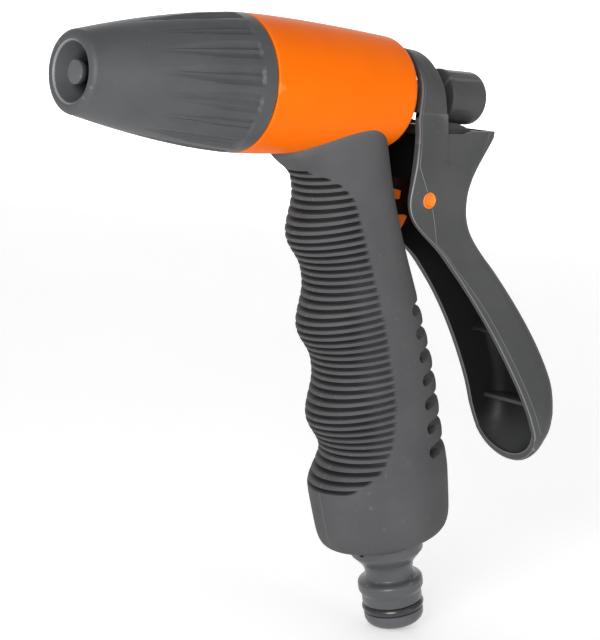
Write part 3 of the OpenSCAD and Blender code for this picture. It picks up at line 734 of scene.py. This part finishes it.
def make_jet_pin():
    """The pin in the jet, with the ring and arms that carry it."""
    shaft = turned(rounded([(55.2, 0), (56.2, 2.2), (62.2, 2.2), (73.2, 1.9), (75.4, 2.5), (76.2, 2.85),
                            (77.9, 2.85), (77.9, 0)], 0.3), steps=72)
    # painted shade on the shaft behind the pin's head
    deep = shaft.verts.layers.float.new("deep")
    for v in shaft.verts:
        v[deep] = smooth(((HEAD.x + 77.2) * MM - v.co.x) / (0.3 * MM))
    ring = ease(turned([(57.2, 6.35), (61.2, 6.35), (61.2, 5.2), (57.2, 5.2)], steps=72, closed=True), 0.15)
    arms = []
    for k in range(3):
        arm = bmesh.new()
        bmesh.ops.create_cube(arm, size=1, matrix=Matrix.Translation(at_head(59.2, 0, 0))
                              @ Matrix.Rotation(math.tau * k / 3, 4, "X")
                              @ Matrix.Translation(Vector((0, 0, 3.7)) * MM)
                              @ Matrix.Diagonal(Vector((3.9, 1.2, 4.2, 1000)) * MM))
        arms.append(ease(arm, 0.2))
    piece(joined(shaft, ring, *arms), "jet_spider", "housing", "pin_plastic", "jet_pin")


make_spray_head()
make_jet_pin()


# ---------------------------------------------------------------- lever

# Rear outline from the spur down to the tip, and the cheeks' front edges from the hood down
LEVER_REAR = [*curve((-48.5, -9.6), (-46.0, -14.6), (-41.4, -19.5), (-41.1, -26), 14),
              *curve((-41.1, -26), (-40.9, -33.2), (-48, -37.4), (-55.5, -43.7), 16),
              *curve((-55.5, -43.7), (-67.8, -55.7), (-81, -72), (-81.1, -83.9), 20),
              *curve((-81.1, -83.9), (-81.1, -88), (-79.9, -94.5), (-76.6, -98.6), 16), (-76.6, -98.6)]
LEVER_FRONT = [*curve((-18.9, -6), (-21, -12), (-20, -18), (-19.5, -26), 12),
               *curve((-19.5, -26), (-19.5, -33.5), (-31, -36), (-38.2, -43), 16),
               *curve((-38.2, -43), (-50.8, -55), (-58.9, -66.5), (-65.4, -77), 20),
               *curve((-65.4, -77), (-68, -81.5), (-69.3, -84.5), (-71.6, -89), 8),
               *curve((-71.6, -89), (-73.4, -93), (-74.2, -96), (-75.4, -98.6), 12), (-75.4, -98.6)]
# the cheeks' top edge behind the ear: a low shelf under the knob, then the spur
SPUR_TOP = [(-28.3, 6), (-28.4, -4.0), (-29.55, -9.0), (-35.2, -8.9), (-36.9, -8.2), (-43.1, -7.95),
            (-46.3, -7.7), (-47.2, -7.95), (-47.9, -8.6), (-48.4, -9.8), (-53, -9.8), (-53, 6)]
ROOF = [(-29.6, -7.6), (-36.1, -7.6), (-38.4, -8.3), (-45.6, -8.1), (-46.8, -8.7), (-47.1, -9.8),
        (-46.2, -11.4), (-40.5, -11.4), (-29.6, -10)]
ROOF_SIDE = [(-29.6, -6.1), (-33.5, -6.3), (-36.1, -6.9), (-38.4, -8.0), (-38.4, -9.6), (-29.6, -9.6)]
FORK_R = 2.4                    # rounding of the fork's ends, which push the knob's washer
HOOD_R = 12.0
EAR_HALF = 11.2                 # half width of the lever at its ears
HOOD_FRONT = -18.9
HOOD_REAR = [(-14, -30.2), (-9, -29.6), (-4, -28.4), (0, -27.3), (13, -24.5)]
WALL = 2.0
TIP = -98.6
ROUND = TIP + 10.5              # below this height the tip is round
CREASE_SLOPE = math.tan(math.radians(28.3))
CREASE_BEND = 0.124
EAR_STEP = 0.45                 # how far the ear stands proud of the cheek behind it
RIB_HALF = 0.55                 # half the thickness of a rib
# height of each rib, the slope of the back wall there, how far the rib reaches from the wall and how much painted
# shade it gets
RIBS_AT = [(-42.2, 47, 5.1, 0.85), (-58.9, 36, 6.7, 0.85), (-81.0, 8, 7.5, 0.5)]


def on_line(outline, z):
    """How far forward an outline is at a height."""
    return along([(-b, a) for a, b in outline], -z)


def lever_half(z):
    """Half width of the lever at a height."""
    if z > -14:
        return mix(HOOD_R, EAR_HALF, smooth(-z / 14))
    return mix(EAR_HALF, 7.5, smooth((PIVOT[1] - z) / 18)) + 5.2 * min(1.0, max(0.0, (-42 - z) / 42)) ** 1.2


def corner_r(z):
    """Radius of the rounded back corners, which are rounder round the tip."""
    return 4.4 + 2.1 * smooth((TIP + 24.6 - z) / 12) + 1.5 * smooth((TIP + 12.6 - z) / 8)


def rim_width(z):
    """How far the rim's outer line is from the cheeks' front edge."""
    return mix(0.9, 1.9, smooth((-42 - z) / 14))


def make_lever_channel():
    """The cheeks and the back wall: one U-shaped section at each height, closed round the tip."""
    top_rows = 6
    heights = [-12 + (ROUND + 12) * i / 110 for i in range(111)]
    rounds = [math.pi / 2 * i / 20 for i in range(1, 21)]
    straight = top_rows + len(heights)
    rows = straight + len(rounds)
    # each point has its share of the way from the front edge round to the middle of the back, what it
    # stands back from the front edge, how far it is through the wall and how much painted highlight it gets
    edge = [(0, 0.4, 0, 0), (0, 0.14, 0.05, 0.6), (0, 0, 0.18, 0), (0, 0, 0.5, 0), (0, 0, 0.82, 0),
            (0, 0.14, 0.95, 0.6), (0, 0.4, 1, 0)]
    shares = [0.06, 0.12, 0.19, 0.2, 0.21, 0.25, 0.29, 0.33, 0.34, 0.38, 0.42, 0.46, 0.5]
    shares += [0.5 + 0.35 * i / 12 for i in range(1, 13)] + [0.9, 0.95]
    outer = [(share, 0.4, 0, 0.6 if share == 0.2 else 0) for share in shares]
    inner = [(share, 0.4, 1, 0) for share in shares]
    half_loop = inner[::-1] + edge[::-1] + outer
    loop = [(1, 0.4, 1, 0, 1)] + [(*p, 1) for p in half_loop] + [(1, 0.4, 0, 0, 1)]
    loop += [(*p, -1) for p in half_loop[::-1]]

    def point(row, share, off, through):
        d = WALL * through
        end, shrink = TIP + d, 1.0
        if row < top_rows:
            z = mix(-4, -12, row / top_rows)
        elif row < straight:
            z = heights[row - top_rows]
        else:
            a = rounds[row - straight]
            z, shrink = mix(ROUND, end, math.sin(a)), math.cos(a)
        front, back = on_line(LEVER_FRONT, z), on_line(LEVER_REAR, z)
        slope = (on_line(LEVER_REAR, z + 1) - on_line(LEVER_REAR, z - 1)) / 2
        back = min(back + d * math.sqrt(1 + slope * slope), front)
        half = (lever_half(z) - d) * shrink
        r = min(max(0.0, corner_r(z) - 0.7 * d), half)
        turn = min(back + r, front)
        crease = min(front - rim_width(z), PIVOT[0] + (z - PIVOT[1]) * CREASE_SLOPE)
        ear = min(crease - 0.3, -28.5 + 0.121 * z)
        if 0.5 < share <= 0.85:
            a = (share - 0.5) / 0.35 * math.pi / 2
            return turn - (turn - back) * math.sin(a), half - r + r * math.cos(a), z
        if share > 0.85:
            return back, (half - r) * (1 - share) / 0.15, z
        x = along([(0, front - off), (0.19, crease + 0.12), (0.21, crease - 0.12), (0.33, ear + 0.1),
                   (0.34, ear - 0.1), (0.5, min(turn, ear - 0.1))], share)
        x = max(turn, min(x, front - off))
        bend = mix(CREASE_BEND, 0.3, smooth((-42 - z) / 10)) * max(0.0, x - crease)
        bend += EAR_STEP * smooth((z + 19) / 7) if x < ear else 0.0
        return x, half - bend * (1 - through), z

    bm = bmesh.new()
    bmesh.ops.create_grid(bm, x_segments=rows - 1, y_segments=len(loop), size=0.5)
    line, deep = (bm.verts.layers.float.new(name) for name in ("line", "deep"))
    for v in bm.verts:
        row, column = round((v.co.x + 0.5) * (rows - 1)), round((v.co.y + 0.5) * len(loop)) % len(loop)
        share, off, through, painted_highlight, side = loop[column]
        x, y, z = point(row, share, off, through)
        if 0 < through < 1:
            y = mix(point(row, share, off, 0)[1], point(row, share, off, 1)[1], through)
        # painted highlight along the rims and the crease, fainter at the top and lower down; painted shade on the
        # inner face, less towards the tip
        v[line] = painted_highlight * mix(0.65, 1, smooth((z + 36) / 6)) * mix(1, 0.3, smooth((z + 17) / 6))
        v[deep] = 0.0 if through < 1 else mix(0.95, 0.5, smooth((-84 - z) / 10))
        v.co = at_head(x, y * side, z)
    return closed_up(bm)


def make_hood():
    """The arch over the stem, as a band that runs down into the cheeks."""
    drops = [12, 10.5, 9, 7.5, 6, 5, 4, 3, 2, 1]
    path = [(0.0, d) for d in drops] + [(math.radians(3.75 * i), 0) for i in range(49)]
    path += [(math.pi, d) for d in drops[::-1]]
    # share of the way from front to rear, how far back from there, how far through the wall, how much painted
    # highlight it gets
    band = [(0, 0, 0.2, 0), (0, 0.12, 0.06, 0.3), (0, 0.35, 0, 0), (0, 0.78, 0, 0), (0, 0.9, 0, 0.2),
            (0, 1.02, 0, 0), (0.35, 0, 0, 0), (0.65, 0, 0, 0), (0.94, 0, 0, 0), (0.98, 0, 0.06, 0),
            (1, 0, 0.2, 0), (1, 0, 0.8, 0), (0.97, 0, 0.96, 0), (0.5, 0, 1, 0), (0.03, 0, 0.96, 0), (0, 0, 0.8, 0)]
    bm = bmesh.new()
    bmesh.ops.create_grid(bm, x_segments=len(path) - 1, y_segments=len(band), size=0.5)
    line, deep = (bm.verts.layers.float.new(name) for name in ("line", "deep"))
    for v in bm.verts:
        a, drop = path[round((v.co.x + 0.5) * (len(path) - 1))]
        share, back, through, painted_highlight = band[round((v.co.y + 0.5) * len(band)) % len(band)]
        # painted highlight on the front rim, fading up the arch; painted shade on the inner face
        v[line] = painted_highlight * (1 - smooth((math.sin(a) - 0.1) * 1.5))
        v[deep] = 0.6 * smooth((through - 0.7) / 0.2)
        r = lever_half(-drop) - 0.02 - WALL * through
        z = r * math.sin(a) - drop
        r -= 0.55 * share * smooth(z / 8)
        front = HOOD_FRONT if z > -6 else on_line(LEVER_FRONT, z)
        v.co = at_head(mix(front, along([(b, a) for b, a in HOOD_REAR], z), share) - back, r * math.cos(a),
                       r * math.sin(a) - drop)
    return closed_up(bm)


def make_rib(z, slope, depth):
    """A web square to the back wall, with its back corners cut to the wall's rounding."""
    slope = math.radians(slope)
    half, r = lever_half(z) - 1, corner_r(z) - 1
    rim = [(1, half - r), (1 + 0.3 * r, half - 0.3 * r), (1 + r, half), (depth, half)]
    rib = bmesh.new()
    corners = rim + [(e, -y) for e, y in rim[::-1]]
    root = on_line(LEVER_REAR, z)
    face = rib.faces.new([rib.verts.new(at_head(root + e * math.cos(slope) - RIB_HALF * math.sin(slope), y,
                                                z - e * math.sin(slope) - RIB_HALF * math.cos(slope)))
                          for e, y in corners])
    made = bmesh.ops.extrude_face_region(rib, geom=[face])["geom"]
    thick = Vector((math.sin(slope), 0, math.cos(slope))) * 2 * RIB_HALF * MM
    bmesh.ops.translate(rib, vec=thick, verts=points_of(made))
    return ease(tidied(rib), 0.25)


def make_lever():
    """The channel with its hood, the roof under the knob, the fork round the stem and the ribs inside."""
    roof = prism(ROOF, 10.2)
    bmesh.ops.scale(roof, vec=(1, 0.8, 1), verts=[v for v in roof.verts if v.co.x < at_head(-44, 0, 0).x])
    sides = [prism(ROOF_SIDE, 0.9, moved(s * 9.2)) for s in SIDES]
    arch = [(PIVOT[0] + FORK_R * math.cos(a), FORK_R * math.sin(a))
            for a in (math.radians(d) for d in range(0, 181, 10))]
    fork = [ease(prism([(-23.2, -4.4), *arch, (-28, -4.4)], 4.1, moved(s * 6.8)), 0.2) for s in SIDES]
    shell = cut(make_lever_channel(), rod(56, PIN_R + 0.05, 40, PIVOT_AT * MM, "X"), prism(SPUR_TOP, 20))
    # painted shade on the ribs, the roof, its sides and the fork inside the channel
    ribs = [marked(make_rib(*rib), "deep", dark) for *rib, dark in RIBS_AT]
    inside = [marked(part, "deep", 0.7) for part in (ease(roof, 0.2), *sides, *fork)]
    piece(joined(shell, make_hood(), *inside, *ribs), "palm_lever", "hand_lever", "lever_plastic", "lever",
          sharp=34)


def make_pivot_pin():
    """The pin, with a shallow cup in each end."""
    end = [(9.9, 0), (9.9, 1.6), (10.1, 1.75), (11.0, 1.8), (11.1, 1.9), (11.1, 2.0), (11.0, PIN_R - 0.02)]
    pin = turned([(-a, r) for a, r in end] + end[::-1], ACROSS, 64, False, PIVOT_AT, FORWARD)
    piece(pin, "orange_pivot_pin", "housing", "pivot_orange", "pivot_pin")


make_lever()
make_pivot_pin()


# ---------------------------------------------------------------- knob and stem

KNOB_FRONT = -34.3
KNOB_END = KNOB_FRONT - 12.6
KNOB_FLATS = 12
KNOB_FLAT_R = 7.15
GLAND_X = -17.3                 # middle of the gland nut's hexagon


def make_knob():
    """The knob, with shallow flats that fade towards its end."""
    outline = rounded([(KNOB_END, 0), (KNOB_END, 6.9), (KNOB_FRONT - 1.0, 7.3), (KNOB_FRONT, 7.1),
                       (KNOB_FRONT, 3.2), (-29.2, 3.2), (-29.2, STEM_R + 0.05),
                       (KNOB_END + 3.6, STEM_R + 0.05), (KNOB_END + 3.6, 0)], 1.4, 6)
    knob = turned(outline, steps=180)
    for v in knob.verts:
        x, y, z = (v.co / MM - HEAD)
        r = math.hypot(y, z)
        if r > 6.0 and x < KNOB_FRONT - 1.2:
            turn = math.atan2(z, y) / math.tau * KNOB_FLATS + 0.3
            flat = (KNOB_FLAT_R * math.cos(math.pi / KNOB_FLATS)
                    / math.cos((turn - round(turn)) * math.tau / KNOB_FLATS))
            cut_in = max(0.0, r - max(flat, r - 0.3)) * smooth((x - KNOB_END - 1.0) / 1.5)
            v.co = (HEAD + Vector((x, y * (r - cut_in) / r, z * (r - cut_in) / r))) * MM
    piece(knob, "adjuster_knob", "knob", "knob_plastic", "adjusting_knob", sharp=20)


def make_stem():
    """The valve's rod, from the knob through the gland to the plug."""
    outline = rounded([(KNOB_END + 4, 0), (KNOB_END + 4, 1.7), (KNOB_END + 4.6, STEM_R), (10.2, STEM_R),
                       (10.2, 1.2), (6, 1.2), (6, 0)], 0.2)
    piece(turned(outline, steps=64), "brass_stem", "valve", "stem_brass", "valve_stem")


def make_spring():
    """The valve's coil spring, at one fixed length; the real one shortens towards its washer as the valve opens."""
    rear, front, turns, r, wire, travel = -6.6, 4.4, 4, 3.9, 0.5, 6.5
    coil = bmesh.new()
    end = coil.faces.new([coil.verts.new(at_head(x, y, 0)) for x, y in ring_points(wire, 12, (rear, r))])
    steps = turns * 32
    bmesh.ops.spin(coil, geom=[end], cent=HEAD * MM, axis=FORWARD, dvec=FORWARD * (front - rear) / steps * MM,
                   angle=turns * math.tau, steps=steps, use_merge=False)
    spring = piece(tidied(coil), "valve_coil_spring", "housing", "spring_steel", "valve_spring", sharp=80)
    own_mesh(spring)


def make_gland_nut():
    """The nut behind the barrel that holds the stem's seal: a threaded sleeve under a hexagon."""
    thread = turned([(-18.25, STEM_R + 0.05), (-18.25, 5.2), (BARREL_REAR, 5.2), (BARREL_REAR, 5.9),
                     (-12.1, 5.9), (-12.1, STEM_R + 0.05)], steps=72, closed=True)
    hexagon = cut(rod(6, 6.95, 1.9, at_head(GLAND_X, 0, 0), "Y"), rod(48, 3, 6, at_head(GLAND_X, 0, 0), "Y"))
    nut = joined(ease(thread, 0.15), ease(hexagon, 0.2))
    piece(nut, "brass_gland_nut", "housing", "nut_brass", "gland_nut")


make_knob()
make_stem()
make_spring()
make_gland_nut()


# ---------------------------------------------------------------- hose inlet

def make_inlet():
    """The plug-in inlet, turned about the handle's axis, with its stations down the handle."""
    outline = rounded([(102.4, 4.8), (102.4, 8.35), (116.3, 8.35), (116.3, 9.65), (124.6, 9.7), (126.4, 8.1),
                       (127.6, 7.1), (128.8, 6.6), (130, 6.4), (131.6, 6.4), (132, 6.9), (132.2, 7.9),
                       (132.6, 8.5), (133.1, 8.7), (134.9, 8.7), (135.4, 8.5), (136.2, 8.0), (138.8, 7.98),
                       (138.8, 5.95), (141.3, 5.95), (141.3, 7.95), (143.1, 7.93), (144.1, 7.5), (145, 6.5),
                       (145, 4.8)], 0.3, 3)
    inlet = cut(turned(outline, DOWN, 120, closed=True), make_drain())
    piece(inlet, "hose_inlet_plug", "housing", "inlet_plastic", "inlet_connector", sharp=32)


def make_inlet_ring():
    """The seal ring in the inlet's groove."""
    ring = ring_points(1.15, 24, (140.05, 7.17))
    piece(turned(ring, DOWN, 120, closed=True), "inlet_seal_ring", "housing", "ring_rubber", "inlet_o_ring",
          sharp=80)


make_inlet()
make_inlet_ring()

# The pieces inside keep their own shapes and get their finishes
slots = {s["node"]: s["material_slot"] for s in frame["record"]["subparts"]}
for name, node in frame["nodes"].items():
    node.data.materials.clear()
    node.data.materials.append(FINISHES[slots[name]].material)


# ---------------------------------------------------------------- floor and light

# Name, place from the head in metres, aim, size and power of each light
LIGHTS = [("key", (0.88, 0.66, 0.12), (0, 0, -0.05), 0.55, 11.5),
          ("side", (-0.2, 0.95, 0.0), (0, 0, -0.05), 0.5, 1.3),
          ("wall", (-1.2, -1.4, 1.2), (-2.8, -3.2, 0.1), 1.0, 30)]
# The floor's sides, in metres: how far it comes forward, goes back before its bend, and rises behind
FLOOR_NEAR, FLOOR_FAR, FLOOR_BEND, FLOOR_TOP, FLOOR_HALF = -2.0, 2.4, 0.8, 3.0, 4


def make_floor():
    """A pale sweep that rises behind the object."""
    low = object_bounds()[0].z - 0.0002
    away = -Vector((math.sin(AZIMUTH), -math.cos(AZIMUTH), 0))
    aside = Vector((away.y, -away.x, 0))
    bend = [(FLOOR_FAR + FLOOR_BEND * math.sin(a), FLOOR_BEND - FLOOR_BEND * math.cos(a))
            for a in (math.pi / 2 * i / 16 for i in range(17))]
    bm = bmesh.new()
    points = [bm.verts.new(away * d + aside * -FLOOR_HALF + Vector((0, 0, low + h)))
              for d, h in [(FLOOR_NEAR, 0.0), *bend, (FLOOR_FAR + FLOOR_BEND, FLOOR_TOP)]]
    lines = [bm.edges.new(pair) for pair in zip(points, points[1:])]
    made = bmesh.ops.extrude_edge_only(bm, edges=lines)["geom"]
    bmesh.ops.translate(bm, vec=aside * 2 * FLOOR_HALF, verts=points_of(made))
    floor = as_object(bm, "floor")
    floor.data.polygons.foreach_set("use_smooth", [True] * len(floor.data.polygons))
    f = Finish("pale_floor", Roughness=0.9, Specular_IOR_Level=0.1, Emission_Color=(1, 1, 1, 1),
               Emission_Strength=0.32)
    cloud = f.noise(f.place(), 3.0, 3.0).between(0.3, 0.7)
    f.feed(Base_Color=f.blend(cloud, (0.93, 0.93, 0.93), (0.95, 0.95, 0.95)))
    floor.data.materials.append(f.material)


def make_light():
    """Soft light from all round, a key light and two weaker ones."""
    world = bpy.data.worlds.new("studio")
    world.use_nodes = True
    sky = world.node_tree.nodes["Background"]
    sky.inputs["Color"].default_value = (1, 1, 1, 1)
    sky.inputs["Strength"].default_value = 0.48
    bpy.context.scene.world = world
    for name, place, aim, size, power in LIGHTS:
        light = bpy.data.lights.new(name, "AREA")
        light.size, light.energy = size, power
        lamp = bpy.data.objects.new(name, light)
        lamp.location = HEAD * MM + Vector(place)
        lamp.rotation_euler = (Vector(aim) - Vector(place)).to_track_quat("-Z", "Y").to_euler()
        bpy.context.scene.collection.objects.link(lamp)
    bpy.context.scene.view_settings.view_transform = "Standard"


make_floor()
make_light()
